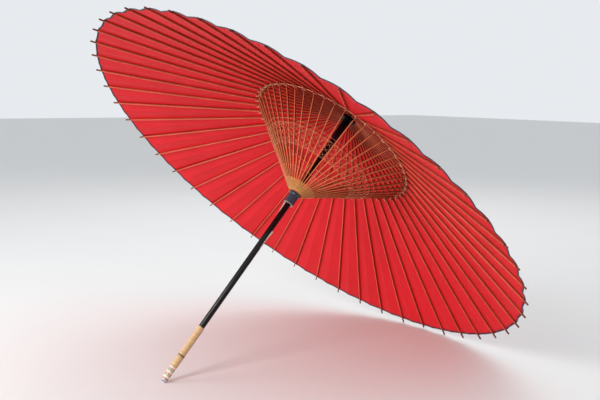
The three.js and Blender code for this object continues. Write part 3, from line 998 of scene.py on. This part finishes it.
class UMBRELLA_OT_runner(bpy.types.Operator):
    """Turn the slotted runner and its pale collar"""

    bl_idname = "umbrella.runner"
    bl_label = "Runner"

    def execute(self, context):
        teal = lacquer("teal_lacquer", tuple(colours().teal), 0.4, 0.4)
        bore, barrel, crown, bottom = 0.0067, 0.0109, 0.0130, RUNNER_BOTTOM + 0.0016
        slot_foot, share = 0.4582, 0.68
        outline = [
            *((bore, bottom), (barrel - 0.0003, bottom), (barrel, bottom + 0.0004)),
            *((barrel, 0.4560), (0.0112, 0.4572), (0.0127, 0.4579)),
            *((crown, slot_foot), (crown, slot_foot + 2e-5), (crown, RUNNER_TOP - 0.0014)),
            *((0.0127, RUNNER_TOP - 0.0004), (0.0120, RUNNER_TOP), (bore, RUNNER_TOP)),
        ]
        cut = slotted(0.0082, slot_foot + 1e-5, math.inf, share)
        piece = turned("slotted_runner", outline, teal, slot_azimuths(share), True, cut, False)
        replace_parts(ride(piece, "runner_body"), "runner")
        pale = material(bamboo_pale, "pale_bamboo_collar", darker(colours().pale, 0.62))
        low, high, wide = RUNNER_BOTTOM + 0.0002, RUNNER_BOTTOM + 0.0014, 0.0104
        middle = (low + high) / 2
        corners = [(bore, low), (wide, low), (wide + 0.0004, middle), (wide, high), (bore, high)]
        collar = turned("pale_collar", rounded(corners, 0.0004), pale, 96, True)
        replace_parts(ride(collar, "runner_body"), "runner_collar")
        return {"FINISHED"}


class UMBRELLA_OT_canopy(bpy.types.Operator):
    """Stretch the oiled paper from rib to rib, with its dark bound rim"""

    bl_idname = "umbrella.canopy"
    bl_label = "Paper Canopy"

    def execute(self, context):
        finish = material(paper, "oiled_paper", colours().paper, colours().edge)
        edge = material(thread, "rim_cord", colours().edge)
        across = np.linspace(-1, 1, 25)
        for index in range(PAIRS):
            piece, width, height, area = panel(index, finish)
            rim = panel_points(pair_azimuth(index), across, np.array([PAPER_EDGE]))
            name = numbered("rim_cord", index)
            hem = strands(name, [rim], HEM_RADIUS, 6, SHAFT_AXIS, edge)
            fold_with(hem, "rib_body", index)
            if index == 0:
                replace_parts(piece, "canopy")
        return {"FINISHED"}


class UMBRELLA_OT_ribs(bpy.types.Operator):
    """Split the 48 outer ribs, each with its darker tip and its joint"""

    bl_idname = "umbrella.ribs"
    bl_label = "Outer Ribs"

    def execute(self, context):
        c = colours()
        tip = PAPER_EDGE + 0.0004
        face = bamboo("rib_bamboo", tuple(c.rib), tuple(c.rib_dark), tip)
        # Painted shade: the ribs' broad sides wear the rib colours darkened; the narrow faces keep
        # them.
        painted_shade_sides = darker(c.rib, 0.46), darker(c.rib_dark, 0.45)
        sides = bamboo("rib_bamboo_painted_shade_sides", *painted_shade_sides, tip)
        for index in range(PAIRS):
            azimuth = pair_azimuth(index)
            piece = outer_rib(numbered("rib_jointed", index), azimuth, RIB_LENGTH, sides, face)
            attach(piece, numbered("rib_body", index))
            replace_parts(piece, numbered("rib", index))
            end = RIB_LENGTH - FLOOR_TRIM if index == PAIRS - 1 else RIB_LENGTH
            name = numbered("rib_between", index)
            between = outer_rib(name, azimuth + STEP / 2, end, sides, face)
            fold_with(between, "rib_body", index)
        return {"FINISHED"}


class UMBRELLA_OT_stretchers(bpy.types.Operator):
    """Split the 48 stretchers between the ribs and the runner"""

    bl_idname = "umbrella.stretchers"
    bl_label = "Stretchers"

    def execute(self, context):
        c = colours()
        face = bamboo("stretcher_bamboo", tuple(c.stretcher), tuple(c.stretcher_dark))
        # Painted shade: the stretchers' broad sides wear their colours darkened; the narrow faces
        # keep them.
        painted_shade_sides = darker(c.stretcher, 0.42), darker(c.stretcher_dark, 0.5)
        sides = bamboo("stretcher_bamboo_painted_shade_sides", *painted_shade_sides)
        for index in range(PAIRS):
            azimuth = pair_azimuth(index)
            piece = stretcher(numbered("stretcher_jointed", index), azimuth, sides, face)
            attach(piece, numbered("stretcher_body", index))
            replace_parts(piece, numbered("stretcher", index))
            name = numbered("stretcher_between", index)
            between = stretcher(name, azimuth + STEP / 2, sides, face)
            fold_with(between, "stretcher_body", index)
            if index == 0:
                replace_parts(between, "between_stretchers")
        return {"FINISHED"}


class UMBRELLA_OT_threads(bpy.types.Operator):
    """Wind the threads between the stretchers, and the cord through the joints"""

    bl_idname = "umbrella.threads"
    bl_label = "Threads"

    def execute(self, context):
        gold = material(thread, "gold_thread", colours().gold)
        cream = material(thread, "cream_thread", colours().cream)
        salmon = material(thread, "net_thread", colours().net)
        radius = sizes().thread_radius
        for index in range(PAIRS):
            radial = np.cross(tangent(pair_azimuth(index)), SHAFT_AXIS)
            close, net = net_paths(index)
            cord = joint_paths(index)
            rows = (
                ("gold_winding", [close], radius * 1.15, 4, gold, "stretcher_body"),
                ("thread_net", [net], radius * 0.8, 4, salmon, "stretcher_body"),
                ("joint_cord", cord, radius * 1.7, 5, cream, "rib_body"),
            )
            for kind, parts, thickness, corners, finish, body in rows:
                name = numbered(kind, index)
                piece = strands(name, parts, thickness, corners, radial, finish)
                fold_with(piece, body, index)
        return {"FINISHED"}


def area_light(name, position, aim, size, energy, color):
    """A square lamp at a position, turned to face a point."""
    lamp = bpy.data.lights.new(name, "AREA")
    lamp.size = size
    lamp.energy = energy
    lamp.color = color
    holder = add_object(name, lamp)
    holder.location = position
    holder.rotation_euler = (Vector(aim) - Vector(position)).to_track_quat("-Z", "Y").to_euler()


class UMBRELLA_OT_stage(bpy.types.Operator):
    """Lay a plain floor, hang soft studio lamps and set the camera"""

    bl_idname = "umbrella.stage"
    bl_label = "Stage"

    def execute(self, context):
        scene = context.scene
        mesh = bpy.data.meshes.new("floor")
        reach = 14.0
        corners = [(-reach, -reach, 0), (reach, -reach, 0), (reach, reach, 0), (-reach, reach, 0)]
        mesh.from_pydata(corners, [], [(0, 1, 2, 3)])
        plain = Finish("floor", roughness=0.6, specular=0.3)
        shade = plain.noise(3, 3)
        tone = tuple(colours().floor)
        stops = (0.2, darker(tone, 0.97)), (0.8, tone)
        mesh.materials.append(plain.done(plain.ramp(shade, *stops)))
        add_object("floor", mesh)

        world = bpy.data.worlds.new("soft_room")
        world.use_nodes = True
        back = world.node_tree.nodes["Background"]
        back.inputs["Color"].default_value = (0.80, 0.83, 0.86, 1)
        back.inputs["Strength"].default_value = 1.0
        scene.world = world

        area_light("key", (-2.3, 1.1, 0.75), (0.05, 0, 0.45), 1.3, 32, (1, 0.98, 0.95))
        area_light("high", (-2.3, -0.6, 1.6), (0.1, 0, 0.4), 0.9, 40, (1, 0.98, 0.96))
        area_light("front", (-1.2, -2.2, 1.4), (0, 0, 0.4), 1.8, 3, (1, 1, 1))
        area_light("through", (1.6, 1.6, 2.4), (0.1, 0, 0.4), 2.0, 28, (1, 0.98, 0.96))

        camera = bpy.data.cameras.new("camera")
        camera.sensor_width = 36.0
        camera.lens = 54.03
        holder = add_object("camera", camera)
        holder.location = (-1.11423, -1.47548, 0.55674)
        holder.rotation_euler = Euler([math.radians(a) for a in (83.0308, -0.7470, -37.1837)])
        scene.camera = holder
        scene.view_settings.view_transform = "Standard"
        return {"FINISHED"}


OPERATORS = (
    UMBRELLA_OT_shaft,
    UMBRELLA_OT_grip,
    UMBRELLA_OT_foot,
    UMBRELLA_OT_head,
    UMBRELLA_OT_cap,
    UMBRELLA_OT_runner,
    UMBRELLA_OT_ribs,
    UMBRELLA_OT_canopy,
    UMBRELLA_OT_stretchers,
    UMBRELLA_OT_threads,
    UMBRELLA_OT_stage,
)


class UMBRELLA_PT_pieces(bpy.types.Panel):
    """The umbrella's pieces, in the order they are made"""

    bl_idname = "UMBRELLA_PT_pieces"
    bl_label = "Oil Paper Umbrella"
    bl_space_type = "VIEW_3D"
    bl_region_type = "UI"
    bl_category = "Umbrella"

    def draw(self, context):
        for group in (context.scene.umbrella_sizes, context.scene.umbrella_colours):
            box = self.layout.box()
            for key in group.bl_rna.properties.keys():
                if key not in ("rna_type", "name"):
                    box.prop(group, key)
        for operator in OPERATORS:
            self.layout.operator(operator.bl_idname)


CLASSES = (UmbrellaSizes, UmbrellaColours, *OPERATORS, UMBRELLA_PT_pieces)


def register():
    """Registers the settings, the operators and the panel."""
    for entry in CLASSES:
        bpy.utils.register_class(entry)
    bpy.types.Scene.umbrella_sizes = bpy.props.PointerProperty(type=UmbrellaSizes)
    bpy.types.Scene.umbrella_colours = bpy.props.PointerProperty(type=UmbrellaColours)


def unregister():
    """Takes everything off again, in the opposite order."""
    del bpy.types.Scene.umbrella_colours
    del bpy.types.Scene.umbrella_sizes
    for entry in reversed(CLASSES):
        bpy.utils.unregister_class(entry)


def main():
    """Registers everything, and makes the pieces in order."""
    register()
    for operator in OPERATORS:
        group, name = operator.bl_idname.split(".")
        if getattr(getattr(bpy.ops, group), name)() != {"FINISHED"}:
            raise RuntimeError(operator.bl_idname)


if __name__ == "__main__":
    main()
